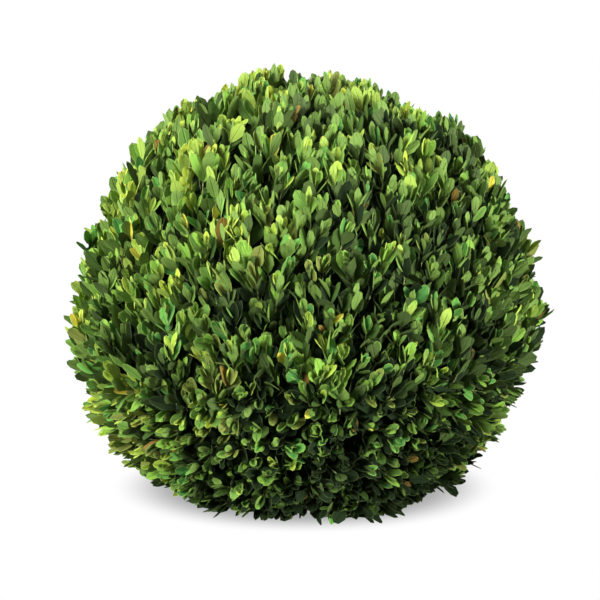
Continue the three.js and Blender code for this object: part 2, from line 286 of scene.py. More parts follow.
def tubes(paths, radii, sides):
    """Closed tubes, one per path. Each ring is path point + radius * (cos turn * side + sin turn *
    over), where side and over stand square to the path."""
    count, steps, _ = paths.shape
    along = unit(np.gradient(paths, axis=1))
    rough = np.eye(3)[np.argmin(np.abs(along.mean(axis=1)), axis=-1)][:, None, :]
    side = unit(np.cross(along, rough))
    over = np.cross(along, side)
    turn = np.linspace(0, 2 * math.pi, sides, endpoint=False)
    ring = np.cos(turn)[:, None] * side[:, :, None] + np.sin(turn)[:, None] * over[:, :, None]
    points = paths[:, :, None] + radii[..., None, None] * ring
    index = np.arange(count * steps * sides).reshape(count, steps, sides)
    round_ = np.roll(index, -1, axis=2)
    walls = np.stack([index[:, :-1], round_[:, :-1], round_[:, 1:], index[:, 1:]], axis=-1)
    ends = np.concatenate([index[:, 0, ::-1], index[:, -1]])
    return points.reshape(-1, 3), [walls.reshape(-1, 4), ends]


def joined(parts):
    """Several (points, faces) as one: each part's corner numbers go up by the points before it."""
    points, faces, before = [], [], 0
    for part_points, part_faces in parts:
        points.append(part_points)
        faces += [face + before for face in part_faces]
        before += len(part_points)
    return np.concatenate(points), faces


# %% [markdown]
# The trunk is the source's own: its taper, the flare at its foot and the slight lean. A surface of
# height and turn lets the bark's relief go in as real shape: long ridges that wander and split,
# and shallow cracks across them.

# %% Trunk with bark relief
TRUNK_HEIGHT, TRUNK_LEAN = 330.0, 14.0
TRUNK_RADIUS, TRUNK_TIP_RADIUS = 21.0, 12.0
FLARE, FLARE_HEIGHT, FLARE_LOBES, LOBE_DEPTH = 17.0, 38.0, 4, 0.25
TRUNK_TURNS, TRUNK_LEVELS = 60, 84
RIDGES, RIDGE_HEIGHT, RIDGE_SHARPNESS = 13, 1.1, 0.7
CRACK_HEIGHT, CRACK_LENGTH, CRACK_SHIFT = 0.35, 2.9, 5
# size and length up the trunk of the two waves that the ridges wander by
LONG_WANDER, SHORT_WANDER = (0.5, 31), (0.3, 13)


def trunk_centre(height):
    """The trunk's axis: straight up, leaning to +X by the square of the height share."""
    return np.stack([TRUNK_LEAN * (height / TRUNK_HEIGHT) ** 2, 0 * height, height], axis=-1)


def trunk_radius(height, turn):
    """Straight taper plus the root flare, which fades by the square of the height share in lobes."""
    taper = mix(TRUNK_RADIUS, TRUNK_TIP_RADIUS, height / TRUNK_HEIGHT)
    fade = np.maximum(0, 1 - height / FLARE_HEIGHT) ** 2
    return taper + FLARE * fade * (1 - LOBE_DEPTH + LOBE_DEPTH * np.cos(FLARE_LOBES * turn))


def bark_relief(height, turn):
    """Ridges: one less the size of a sine round the trunk that wanders with height. Cracks: a quick
    wave up the trunk, shifted from ridge to ridge."""
    (size, length), (short_size, short_length) = LONG_WANDER, SHORT_WANDER
    wander = size * np.sin(height / length + 2 * turn)
    wander = wander + short_size * np.sin(height / short_length - 3 * turn)
    ridge = 1 - np.abs(np.sin(RIDGES / 2 * turn + wander)) ** RIDGE_SHARPNESS
    crack = np.sin(height / CRACK_LENGTH + CRACK_SHIFT * np.sin(RIDGES * turn / 2 + wander))
    return RIDGE_HEIGHT * (ridge - 1) + CRACK_HEIGHT * np.minimum(crack, 0)


def trunk_surface():
    """The grid of height and turn, closed by one flat face under it and one over it."""
    height = np.linspace(0, TRUNK_HEIGHT, TRUNK_LEVELS)[:, None]
    turn = np.linspace(0, 2 * math.pi, TRUNK_TURNS, endpoint=False)[None, :]
    radius = trunk_radius(height, turn) + bark_relief(height, turn)
    centre = trunk_centre(height + 0 * turn)
    ring = np.stack([radius * np.cos(turn), radius * np.sin(turn), 0 * radius], axis=-1)
    index = np.arange(TRUNK_LEVELS * TRUNK_TURNS).reshape(TRUNK_LEVELS, TRUNK_TURNS)
    round_ = np.roll(index, -1, axis=1)
    walls = np.stack([index[:-1], round_[:-1], round_[1:], index[1:]], axis=-1).reshape(-1, 4)
    return (centre + ring).reshape(-1, 3), [walls, index[:1, ::-1], index[-1:]]


trunk_part = trunk_surface()
print("trunk points", len(trunk_part[0]))

# %% [markdown]
# Nine boughs leave the trunk one above another, turned by the golden angle, and reach a little under
# half way to the outline. The branches' ends are spread over a smaller ball by the same spiral, and
# each one forks from the nearest bough. The sprigs' stems will fork from the branches.

# %% Boughs and branches
BOUGHS, BOUGH_STEPS, BOUGH_SIDES, BOUGH_LOWEST = 9, 9, 10, 60.0
BOUGH_SHARE, BOUGH_RADIUS, BOUGH_TIP_RADIUS = 0.50, 7.0, 3.6
BOUGH_SAG, BOUGH_LIFT, BOUGH_SWAY = 0.45, 12, 9
FORK_SHARE, FORK_DROP, LOWEST_FORK, HIGHEST_FORK = 0.62, 20, 30, TRUNK_HEIGHT - 12
BRANCHES, BRANCH_STEPS, BRANCH_SIDES, BRANCH_LOWEST = 96, 6, 6, 12.0
BRANCH_SHARE, BRANCH_RADIUS, BRANCH_TIP_RADIUS = 0.74, 2.9, 1.7
BRANCH_FORK, BRANCH_SWAY = 0.42, 10
# steps of a limb that stay bare of forks, and where on the trunk branches may fork, from and to
BARE_BOUGH_STEPS, BARE_BRANCH_STEPS = 3, 2
TRUNK_FORKS = np.linspace(60, 325, 14)


def nearest(points, places):
    """For each point, the number of the nearest place."""
    return np.argmin(np.linalg.norm(points[:, None] - places[None], axis=-1), axis=1)


bough_way = spiral(BOUGHS, BOUGH_LOWEST)
bough_end = CENTRE + bough_way * (reach(bough_way) * BOUGH_SHARE)[:, None]
fork_height = np.clip(bough_end[:, 2] * FORK_SHARE - FORK_DROP, LOWEST_FORK, HIGHEST_FORK)
bough_root = trunk_centre(fork_height)
bough_bend = bough_root * (1 - BOUGH_SAG) + bough_end * BOUGH_SAG + UP * BOUGH_LIFT
bough_bend = bough_bend + BOUGH_SWAY * draws(np.arange(BOUGHS), (11, 12, 13))
bough_path = curve(bough_root, bough_bend, bough_end, BOUGH_STEPS)
bough_radii = np.tile(np.linspace(BOUGH_RADIUS, BOUGH_TIP_RADIUS, BOUGH_STEPS), (BOUGHS, 1))

branch_way = spiral(BRANCHES, BRANCH_LOWEST)
branch_end = CENTRE + branch_way * (reach(branch_way) * BRANCH_SHARE)[:, None]
carriers = bough_path[:, BARE_BOUGH_STEPS:].reshape(-1, 3)
carriers = np.concatenate([carriers, trunk_centre(TRUNK_FORKS)])
branch_root = carriers[nearest(mix(branch_end, CENTRE, BRANCH_FORK), carriers)]
branch_bend = mix(branch_root, branch_end, 0.5)
branch_bend = branch_bend + BRANCH_SWAY * draws(np.arange(BRANCHES), (14, 15, 16))
branch_path = curve(branch_root, branch_bend, branch_end, BRANCH_STEPS)
branch_radii = np.tile(np.linspace(BRANCH_RADIUS, BRANCH_TIP_RADIUS, BRANCH_STEPS), (BRANCHES, 1))

limb_part = joined(
    [tubes(bough_path, bough_radii, BOUGH_SIDES), tubes(branch_path, branch_radii, BRANCH_SIDES)]
)
print("boughs", BOUGHS, "branches", BRANCHES)

# %% [markdown]
# ## Stems
# A sprig's stem is as thin as a match and green. It starts in a branch, runs out under the
# leaves and turns into the direction that its tip grows in. The last two thirds carry the leaves, so
# the stem's place and direction are kept as functions of the distance from the tip.

# %% Stems
STEM_STEPS, STEM_SIDES = 5, 3
STEM_RADIUS, STEM_TIP_RADIUS = 1.25, 0.6
STEM_TURN, STEM_CLEARANCE, STEM_FORK = 48.0, 9.0, 0.18


branch_points = branch_path[:, BARE_BRANCH_STEPS:].reshape(-1, 3)
stem_bend = tip - sprig_way * STEM_TURN
stem_bend[:, 2] = np.maximum(stem_bend[:, 2], STEM_CLEARANCE)
stem_root = branch_points[nearest(mix(stem_bend, CENTRE, STEM_FORK), branch_points)]
stem_path = curve(stem_root, stem_bend, tip, STEM_STEPS)
stem_radii = np.tile(np.linspace(STEM_RADIUS, STEM_TIP_RADIUS, STEM_STEPS), (SPRIGS, 1))


def on_stem(back):
    """Place and direction on every stem at some millimetres back from its tip. Near the tip the curve
    runs at twice the length of its last leg, so t is one less back over that."""
    t = 1 - back / (2 * STEM_TURN)
    t = np.asarray(t).reshape(-1, 1)
    place = (1 - t) ** 2 * stem_root + 2 * t * (1 - t) * stem_bend + t**2 * tip
    along = 2 * (1 - t) * (stem_bend - stem_root) + 2 * t * (tip - stem_bend)
    return place, unit(along)


print("stem length", np.linalg.norm(np.diff(stem_path, axis=1), axis=-1).sum(axis=1).mean().round(1))

# %% [markdown]
# ## The leaf
# A box leaf is about twenty millimetres long and half as wide, widest beyond its middle, with a
# blunt and often slightly notched tip and a base that narrows to almost nothing. It is thick and
# leathery, folded a little along its rib like a shallow boat.
#
# One leaf is a closed grid of two parameters: u runs from base to tip and v from one margin over
# the rib to the other. Each station along the leaf has six points: the upper skin's margins, the
# rib above and below, and the lower skin's margins. The lower skin is a little wider, and what it
# shows round the upper one is the leaf's pale rim: partly its own pale margin and partly a painted
# highlight along the edge. Old leaves deep inside have no rim, so their skins share the margins and
# four points are enough. One point closes the base, one or two the tip.
#
# All the leaves are worked out at once, so a leaf's draws are columns that scale the same formulas.

# %% Leaf shape
LEAF_THICKNESS, RIM_THICKNESS, RIM_WIDTH, WIDEST_RIM = 0.5, 0.36, 0.5, 0.4
TIP_BLUNTNESS, BASE_NARROWING = 0.62, 0.35
FLOOR_CLEARANCE, FLOOR_SQUEEZE = 4.0, 0.07
UPPER, LOWER, RIM = 0, 1, 2


def half_width(u, fullness):
    """The leaf's outline: the sine of pi times u to the power fullness, flattened by a root to make
    the tip blunt, and thinned towards the base by the cube of one less u."""
    return np.sin(math.pi * u**fullness) ** TIP_BLUNTNESS * (1 - BASE_NARROWING * (1 - u) ** 3)


def leaf_points(base, along, face, size, stations, rimmed):
    """Base plus along * x + side * y + face * z for every leaf. size holds rows: length, width,
    fullness, fold, bend, notch. Margins rise by the fold and the blade bends by the square of u. With
    a rim, the upper skin's margin lies a little inside the lower skin's."""
    length, width, fullness, fold, bend, notch = (row[:, None] for row in size)
    side = np.cross(face, along)
    u = np.asarray(stations)[None, :]
    x = length * u
    y = width / 2 * half_width(u, fullness)
    z = bend * length * u**2
    thick = LEAF_THICKNESS / 2 * np.sqrt(half_width(u, fullness))
    rim = np.minimum(RIM_WIDTH, WIDEST_RIM * y) * rimmed
    upper = z + fold * (y - rim) + RIM_THICKNESS / 2 * rimmed
    lower = z + fold * y - RIM_THICKNESS / 2 * rimmed
    across = [rim - y, y - rim, 0 * y, 0 * y, -y, y]
    height = [upper, upper, z + thick, z - thick, lower, lower]
    kept = 6 if rimmed else 4
    across, height = np.stack(across[:kept], axis=-1), np.stack(height[:kept], axis=-1)
    blade = (
        base[:, None, None]
        + x[:, :, None, None] * along[:, None, None]
        + across[..., None] * side[:, None, None]
        + height[..., None] * face[:, None, None]
    )
    tip_x, tip_z = length * (1 - notch), bend * length
    tips = [tip_x * along + tip_z * face]
    if rimmed:
        tips.append((tip_x - RIM_WIDTH) * along + (tip_z + RIM_THICKNESS / 2) * face)
    ends = base[:, None] + np.stack([0 * base] + tips, axis=1)
    return np.concatenate([blade.reshape(len(base), -1, 3), ends], axis=1)


def leaf_faces(stations, rimmed):
    """Corner numbers of one leaf's quads and triangles, the kind of each face, each point's place
    across and along the leaf, and each point's line: 0 for a rib, 1 for the upper margin, 2 for the
    lower margin and 3 for the base, where both margins meet."""
    steps, per = len(stations), 6 if rimmed else 4
    left, right, top, low, low_left, low_right = 0, 1, 2, 3, per - 2, per - 1
    if not rimmed:
        low_left, low_right = left, right
    here = (np.arange(steps - 1) * per)[:, None]
    ahead = here + per
    strips = {
        UPPER: [(left, left, top, top), (top, top, right, right)],
        LOWER: [(low_left, low, low, low_left), (low, low_right, low_right, low)],
        RIM: [(left, left, low_left, low_left), (right, right, low_right, low_right)],
    }
    run = {UPPER: (here, ahead, ahead, here), LOWER: (here, here, ahead, ahead)}
    run[RIM] = run[UPPER]
    quads, kinds = [], []
    for kind in (UPPER, LOWER, RIM)[: 3 if rimmed else 2]:
        for number, strip in enumerate(strips[kind]):
            faces = np.concatenate([at + corner for at, corner in zip(run[kind], strip)], axis=1)
            quads.append(faces[:, ::-1] if kind == RIM and number == 0 else faces)
            kinds += [kind] * len(faces)
    base, tip, last = per * steps, per * steps + 1, per * (steps - 1)
    high_tip = tip + 1 if rimmed else tip
    triangles = [[base, left, top], [base, top, right]]
    triangles += [[last + left, high_tip, last + top], [last + top, high_tip, last + right]]
    triangles += [[base, low, low_left], [base, low_right, low]]
    triangles += [[last + low_left, last + low, tip], [last + low, last + low_right, tip]]
    triangle_kinds = [UPPER] * 4 + [LOWER] * 4
    if rimmed:
        triangles += [[left, base, low_left], [base, right, low_right]]
        triangle_kinds += [RIM] * 2
        end_quads = [[high_tip, last + left, last + low_left, tip]]
        end_quads += [[last + right, high_tip, tip, last + low_right]]
        quads.append(np.array(end_quads))
        kinds += [RIM] * 2
    columns, lines = [0, 1, 0.5, 0.5, 0, 1][:per], [1, 1, 0, 0, 2, 2][:per]
    end_count = 3 if rimmed else 2
    across = np.concatenate([np.tile(columns, steps), [0.5] * end_count])
    along = np.concatenate([np.repeat(stations, per), [0, 1, 1][:end_count]])
    line = np.concatenate([np.tile(lines, steps), [3, 2 if rimmed else 1, 1][:end_count]])
    face_kinds = (np.array(kinds, int), np.array(triangle_kinds, int))
    return np.concatenate(quads), np.array(triangles), face_kinds, np.stack([across, along], -1), line


OUTER_STATIONS = [0.15, 0.42, 0.70, 0.91]
MIDDLE_STATIONS = [0.20, 0.55, 0.87]
INNER_STATIONS = [0.25, 0.55, 0.86]
DEEP_STATIONS = [0.36, 0.82]

# %% [markdown]
# ## Leaves in pairs
# Their dark, mostly nearly black tones are partly age and partly painted shade.
# Box carries its leaves in opposite pairs, and each pair is turned a quarter round the stem from the
# last. The pair at the tip is small and almost shut. Further down the leaves are full grown
# and stand out more. The blades twist on their stalks until their upper faces look out of the ball,
# or up under the furrow, where they also droop less. The last three pairs are old leaves, and the
# last two of them broad. They lie along the ball and close the view into it, and near the ground
# they are smaller.
#
# A leaf that would pass through the floor lies along it instead: what is under a few millimetres of
# height is squeezed, not cut.

# %% Placing the leaves
# distance from the tip, length, splay in degrees, pull that turns the face outwards, width share
PAIRS = [
    (0.5, 15.5, 9.0, 0.2, 0.43),
    (6.0, 20.5, 16.0, 0.3, 0.43),
    (13.5, 24.0, 19.0, 0.5, 0.46),
    (23.0, 25.5, 26.0, 0.9, 0.46),
    (35.0, 27.0, 50.0, 1.8, 0.46),
    (50.0, 34.0, 70.0, 2.8, 0.76),
    (66.0, 34.0, 75.0, 2.8, 0.76),
]
OUTER_PAIRS, MIDDLE_PAIRS = 2, 2
OLDER = OUTER_PAIRS + MIDDLE_PAIRS
LAID_BAND, FACE_UP_BAND = (-35.0, 5.0), (-40.0, 20.0)
LOW_FACE_UP, DROOP_TAKEN = 1.2, 0.4
SMALL_LEVELS, SHORTER, NARROWER = (30.0, 110.0), 0.25, 0.30
TURN_JITTER, SPLAY_JITTER, FACE_JITTER, SPACING_JITTER = 0.60, 0.18, 1.00, 0.12
SIZE_JITTER, SPRIG_SIZE_JITTER, WIDTH_JITTER = 0.20, 0.10, 0.18
# steps of a leaf's own number from sprig to sprig, pair to pair and side to side
SPRIG_STEP, PAIR_STEP, SIDE_STEP = 97.0, 13.0, 5.0
# middle and spread
FULLNESS, FOLD, BEND, NOTCH = (1.17, 0.22), (0.05, 0.34), (-0.03, 0.17), 0.03


def above_floor(points):
    """Heights under the clearance are squeezed to a small share of what they lack."""
    lifted = points.copy()
    low = points[..., 2] < FLOOR_CLEARANCE
    squeezed = FLOOR_CLEARANCE + (points[..., 2] - FLOOR_CLEARANCE) * FLOOR_SQUEEZE
    lifted[..., 2] = np.where(low, squeezed, points[..., 2])
    return lifted


def place_pair(number, side_number):
    """One leaf of a pair on every sprig. The leaf's way is the stem's way times the cosine of the
    splay plus the side's times its sine; its face is square to that, pulled out of the ball. Over
    the furrow an old leaf's way loses what points out of the ball, under it any leaf's droops less."""
    back, length, splay, pull, width_share = PAIRS[number]
    key = sprig * SPRIG_STEP + number * PAIR_STEP + side_number * SIDE_STEP
    place, along = on_stem(back * (1 + SPACING_JITTER * draw(sprig, 20 + number)))
    rough = unit(np.cross(along, UP + 0.01))
    over = np.cross(along, rough)
    turn = draw(sprig, 9) * math.pi + number * math.pi / 2 + side_number * math.pi
    turn = (turn + TURN_JITTER * draw(key, 31))[:, None]
    side = np.cos(turn) * rough + np.sin(turn) * over
    angle = (math.radians(splay) + SPLAY_JITTER * draw(key, 32))[:, None]
    way = np.cos(angle) * along + np.sin(angle) * side
    high = smooth_step(over_furrow[:, None], *LAID_BAND)
    old = number >= OLDER
    way = way - old * high * dot(way, outward(place)) * outward(place)
    way = unit(way - DROOP_TAKEN * (1 - high) * np.minimum(way[:, 2:], 0) * UP)
    jitter = FACE_JITTER * draws(key, (33, 34, 35))
    face = np.sin(angle) * along - np.cos(angle) * side + pull * outward(place) + jitter
    if not old:
        face = face + LOW_FACE_UP * (1 - smooth_step(over_furrow, *FACE_UP_BAND))[:, None] * UP
    face = unit(face - dot(face, way) * way)
    grown = length * leaf_scale * (1 + SIZE_JITTER * draw(key, 36))
    small = old * (1 - smooth_step(outline_tip[:, 2], *SMALL_LEVELS))
    grown = grown * (1 + SPRIG_SIZE_JITTER * draw(sprig, 37)) * (1 - SHORTER * small)
    size = np.stack(
        [
            grown,
            grown * width_share * (1 - NARROWER * small) * (1 + WIDTH_JITTER * draw(key, 38)),
            FULLNESS[0] + FULLNESS[1] * draw(key, 39),
            FOLD[0] + FOLD[1] * draw(key, 40),
            BEND[0] + BEND[1] * draw(key, 41),
            np.where(draw(key, 42) > 0, NOTCH, 0.0),
        ]
    )
    return place, way, face, size


def leaves_of(numbers, stations, rimmed):
    """All leaves of some pairs: points as sprig, leaf, point, xyz."""
    rows = []
    for number in numbers:
        for side_number in (0, 1):
            rows.append(leaf_points(*place_pair(number, side_number), stations, rimmed))
    return above_floor(np.stack(rows, axis=1))


LAYERS = {
    "leaves": (range(OUTER_PAIRS), OUTER_STATIONS, True),
    "under_leaves": (range(OUTER_PAIRS, OLDER), MIDDLE_STATIONS, True),
    "inner_leaves": (range(OLDER, OLDER + 1), INNER_STATIONS, False),
    "deep_leaves": (range(OLDER + 1, len(PAIRS)), DEEP_STATIONS, False),
}
print("leaves", SPRIGS * 2 * len(PAIRS))

# %% [markdown]
# ## Tones
# No two sprigs of a real ball have one green. Young growth on top is lime, most of the flank is a
# plain leaf green, some sprigs are cool, bluish or olive, and a few leaves have gone yellow or
# rusty. Each leaf has a lightness, which picks its tone by steps. Part of that lightness is painted
# light and shade. Leaves are lighter towards the top, as young growth and as painted light, and on the
# left, where the large lamps stand. They are darker down the stem, as older leaves and as painted
# shade, and near the ground. Most old leaves inside get a nearly black tone that is painted shade. A
# tone is one plain base colour, so it stays true on every leaf; gloss, ribs and pores come from nodes.

# %% Dealing the tones
TONES = {
    # the first, nearly black tone is painted shade, for the old leaves inside and the darkest places
    "leaf_painted_shade": (0.009, 0.017, 0.006),
    "leaf_dark": (0.038, 0.075, 0.014),
    "leaf_plain": (0.087, 0.180, 0.029),
    "leaf_green": (0.140, 0.276, 0.034),
    "leaf_fresh": (0.226, 0.332, 0.034),
    "leaf_lime": (0.296, 0.360, 0.032),
    "leaf_blue_green": (0.054, 0.176, 0.036),
    "leaf_olive": (0.120, 0.142, 0.028),
    "leaf_yellow": (0.420, 0.360, 0.034),
    "leaf_rusty": (0.160, 0.102, 0.020),
    "leaf_cool": (0.088, 0.254, 0.042),
}
TONE_NAMES = list(TONES)
FRESH, BLUE_GREEN, OLIVE, YELLOW, RUSTY, COOL = (
    TONE_NAMES.index("leaf_" + word) for word in ("fresh", "blue_green", "olive", "yellow", "rusty", "cool")
)
DARK, PLAIN = TONE_NAMES.index("leaf_dark"), TONE_NAMES.index("leaf_plain")
UNDERSIDES = {
    "underside_dark": (0.043, 0.074, 0.015),
    "underside_plain": (0.112, 0.192, 0.034),
    "underside_light": (0.228, 0.330, 0.048),
}
# rims: the leaf's pale margin, part of it a painted highlight along the edge
RIMS = {
    "rim_deep": (0.028, 0.044, 0.013),
    "rim_plain": (0.155, 0.240, 0.044),
    "rim_light": (0.300, 0.370, 0.070),
}
# each tone's dark, plain or light underside and rim
UNDER_OF_TONE = np.array([0, 0, 1, 1, 2, 2, 1, 1, 2, 0, 1]) + len(TONES)
RIM_OF_TONE = UNDER_OF_TONE + len(UNDERSIDES)
LIGHTNESS_STEPS = [-0.48, -0.24, 0.04, 0.34, 0.64]
# steps of a leaf's own number from sprig to sprig, leaf to leaf and pair to pair
TONE_SPRIG_STEP, TONE_LEAF_STEP, TONE_PAIR_STEP = 41.0, 7.0, 300.0
SPRAY_SHARE, PATCH_SHARE, PATCH_SIZE, LEAF_SHARE = 0.22, 0.12, 0.6, 0.26
# lightness that paints light and shade: lighter up top (also young growth) and towards the lamps' side,
# darker down the stem (also older leaves) and near the ground
PLANT_HEIGHT, HEIGHT_SHARE, PLAIN_HEIGHT = 470, 0.46, 0.48
LIGHT_SIDE, LIGHT_LIMITS, LIGHT_SHARE = (-0.85, 0.15), (-0.32, 0.5), 0.58
DARKER_PER_PAIR, PLAIN_PAIR, DIM = 0.25, 0.9, 0.01
GROUND_SHADE_SHARE, GROUND_SHADE_BAND = 0.32, (0.03, 0.16)
SPRAY_HUE, REGION_HUE, REGION_SIZE, REGION_SHIFT, LEAF_HUE = 0.75, 0.28, 0.5, 37, 0.25
COOL_ABOVE, OLIVE_BELOW = 0.38, -0.66
YELLOW_ABOVE, YELLOW_TURN, RUSTY_BELOW, BLACK_BELOW = 0.94, 0.08, -0.985, 0.4


def deal_tones(numbers):
    """A tone number for each sprig, pair and side. Lightness is a sum: the height, the turn towards
    the light side, the patch's, the sprig's and the leaf's own draw, less a share per pair down the
    stem and one near the ground. The height, the turn and the two shares paint light and shade into
    the tone: lighter up top, where it is also young growth, and towards the lamps, darker down the
    stem, where leaves are also older, and near the ground. Hue turns a sprig's middle tones cool or
    olive, a rare draw makes a leaf yellow or rusty, yellow a little more often on the light side, and
    old leaves are dark or, mostly, a nearly black painted shade."""
    count = len(numbers) * 2
    number = np.repeat(np.asarray(numbers), 2)[None, :]
    key = sprig[:, None] * TONE_SPRIG_STEP + np.arange(count)[None, :] * TONE_LEAF_STEP
    key = key + TONE_PAIR_STEP * number
    height = (outline_tip[:, 2] / PLANT_HEIGHT)[:, None]
    towards_light = LIGHT_SIDE[0] * way_out[:, 0] + LIGHT_SIDE[1] * way_out[:, 1]
    towards_light = np.clip(towards_light, *LIGHT_LIMITS)[:, None]
    spray = draw(sprig, 50)[:, None]
    patch = PATCH_SHARE * tuft(outline_tip * PATCH_SIZE).sum(axis=-1)[:, None]
    # painted light: lighter with height, where it is also young growth, and towards the lamps' side
    lightness = SPRAY_SHARE * spray + HEIGHT_SHARE * (height - PLAIN_HEIGHT)
    lightness = lightness + LIGHT_SHARE * towards_light + patch
    # painted shade: darker for each pair down the stem, where leaves are also older, and near the ground
    lightness = lightness - DIM + LEAF_SHARE * draw(key, 51) - DARKER_PER_PAIR * (number - PLAIN_PAIR)
    lightness = lightness - GROUND_SHADE_SHARE * (1 - smooth_step(height, *GROUND_SHADE_BAND))
    tone = np.searchsorted(LIGHTNESS_STEPS, lightness)
    region = tuft(outline_tip * REGION_SIZE + REGION_SHIFT)[:, :1]
    hue = SPRAY_HUE * draw(sprig, 52)[:, None] + REGION_HUE * region + LEAF_HUE * draw(key, 53)
    cool = hue > COOL_ABOVE
    tone = np.where(cool & (tone > PLAIN) & (tone <= FRESH), COOL, tone)
    tone = np.where(cool & (tone == PLAIN), BLUE_GREEN, tone)
    tone = np.where((hue < OLIVE_BELOW) & (tone >= DARK) & (tone < FRESH), OLIVE, tone)
    rare = draw(key, 54)
    yellow = (rare > YELLOW_ABOVE - YELLOW_TURN * towards_light) & (lightness > 0.0)
    tone = np.where(yellow, YELLOW, tone)
    tone = np.where((rare < RUSTY_BELOW) & (number < OLDER), RUSTY, tone)
    # Painted shade: the inner pair's leaves are dark or, most of them, nearly black, and deeper pairs are
    # all nearly black.
    return np.where(number < OLDER, tone, DARK * (draw(key, 55) > BLACK_BELOW) * (number == OLDER))


outer_tones = deal_tones(range(OUTER_PAIRS))
shares = np.bincount(outer_tones.ravel(), minlength=len(TONES)) / outer_tones.size
print("shares", dict(zip(TONE_NAMES, shares.round(3).tolist())))

# %% [markdown]
# ## Materials
# A leathery leaf has a soft shine, with a rib pressed into it and faint side veins. One
# node group works this out from the leaf's own map: v across, u along. It puts out a roughness and a
# height, and every tone's material places the group and adds its own bump.

# %% Node helpers
def node(tree, kind, place=(0, 0), **values):
    """A node of this kind. Values set its plain properties by name."""
    made = tree.nodes.new(kind)
    made.location = place
    for name, value in values.items():
        setattr(made, name, value)
    return made


def maths(tree, operation, first, second=None):
    """A Math node of two numbers or sockets, giving its output socket."""
    made = node(tree, "ShaderNodeMath", operation=operation)
    for socket, value in zip(made.inputs, (first, second)):
        if value is None:
            continue
        if isinstance(value, (int, float)):
            socket.default_value = value
        else:
            tree.links.new(value, socket)
    return made.outputs[0]


def fresh_material(name, colour, **values):
    """A material with one Principled shader. Values are its own sockets, by name."""
    material = bpy.data.materials.new(name)
    material.use_nodes = True
    material.diffuse_color = (*colour, 1)
    shader = material.node_tree.nodes["Principled BSDF"]
    shader.inputs["Base Color"].default_value = (*colour, 1)
    for socket, value in values.items():
        shader.inputs[socket].default_value = value
    return material, material.node_tree, shader


# %% Leaf surface group
RIB_SHARPNESS, VEIN_SLANT, VEIN_COUNT, PORE_SCALE, PATCH_SCALE = 14.0, 0.6, 26.0, 900.0, 60.0
VEIN_HEIGHT, PORE_HEIGHT, PATCHY_SHARE, MARGIN_SHARE = 0.25, 0.5, 0.35, 0.12


def leaf_surface_group():
    """Height: a groove along the rib, slanting side veins and fine pores. Roughness: the waxy
    blade, duller in patches and along the margin."""
    tree = bpy.data.node_groups.new("leaf_surface", "ShaderNodeTree")
    tree.interface.new_socket("Gloss", in_out="INPUT", socket_type="NodeSocketFloat")
    tree.interface.new_socket("Roughness", in_out="OUTPUT", socket_type="NodeSocketFloat")
    tree.interface.new_socket("Height", in_out="OUTPUT", socket_type="NodeSocketFloat")
    given = node(tree, "NodeGroupInput")
    result = node(tree, "NodeGroupOutput")
    leaf_map = node(tree, "ShaderNodeUVMap", uv_map="leaf")
    parts = node(tree, "ShaderNodeSeparateXYZ")
    tree.links.new(leaf_map.outputs[0], parts.inputs[0])
    from_rib = maths(tree, "ABSOLUTE", maths(tree, "SUBTRACT", parts.outputs[0], 0.5))
    rib = maths(tree, "MINIMUM", maths(tree, "MULTIPLY", from_rib, RIB_SHARPNESS), 1.0)
    slant = maths(tree, "SUBTRACT", parts.outputs[1], maths(tree, "MULTIPLY", from_rib, VEIN_SLANT))
    vein = maths(tree, "ABSOLUTE", maths(tree, "SINE", maths(tree, "MULTIPLY", slant, VEIN_COUNT)))
    place = node(tree, "ShaderNodeTexCoord")
    pores, patches = node(tree, "ShaderNodeTexNoise"), node(tree, "ShaderNodeTexNoise")
    for noise, scale in ((pores, PORE_SCALE), (patches, PATCH_SCALE)):
        noise.inputs["Scale"].default_value = scale
        tree.links.new(place.outputs["Object"], noise.inputs["Vector"])
    height = maths(tree, "ADD", rib, maths(tree, "MULTIPLY", vein, VEIN_HEIGHT))
    height = maths(tree, "ADD", height, maths(tree, "MULTIPLY", pores.outputs[0], PORE_HEIGHT))
    tree.links.new(height, result.inputs["Height"])
    patchy = maths(tree, "MULTIPLY", maths(tree, "SUBTRACT", patches.outputs[0], 0.5), PATCHY_SHARE)
    rough = maths(tree, "ADD", maths(tree, "SUBTRACT", 1.0, given.outputs["Gloss"]), patchy)
    rough = maths(tree, "ADD", rough, maths(tree, "MULTIPLY", from_rib, MARGIN_SHARE))
    tree.links.new(rough, result.inputs["Roughness"])
    return tree


LEAF_SURFACE = leaf_surface_group()
BUMP_STRENGTH, BUMP_DISTANCE = 0.75, 0.0010


def leaf_material(name, colour, gloss, shine):
    """A tone of leaf: its plain colour, the shared surface group, and a bump of its own."""
    material, tree, shader = fresh_material(name, colour)
    shader.inputs["Specular IOR Level"].default_value = shine
    group = node(tree, "ShaderNodeGroup", (-500, 0), node_tree=LEAF_SURFACE)
    group.inputs["Gloss"].default_value = gloss
    bump = node(tree, "ShaderNodeBump", (-250, -200))
    bump.inputs["Strength"].default_value = BUMP_STRENGTH
    bump.inputs["Distance"].default_value = BUMP_DISTANCE
    tree.links.new(group.outputs["Height"], bump.inputs["Height"])
    tree.links.new(bump.outputs[0], shader.inputs["Normal"])
    tree.links.new(group.outputs["Roughness"], shader.inputs["Roughness"])
    return material


# gloss and specular level
WAXY, DULL, UNDER_FINISH, RIM_FINISH = (0.45, 0.10), (0.25, 0.03), (0.35, 0.2), (0.35, 0.1)
WAXY_ABOVE = 0.10
LEAF_MATERIALS = (
    [
        leaf_material(name, colour, *(WAXY if max(colour) > WAXY_ABOVE else DULL))
        for name, colour in TONES.items()
    ]
    + [leaf_material(name, colour, *UNDER_FINISH) for name, colour in UNDERSIDES.items()]
    + [leaf_material(name, colour, *RIM_FINISH) for name, colour in RIMS.items()]
)

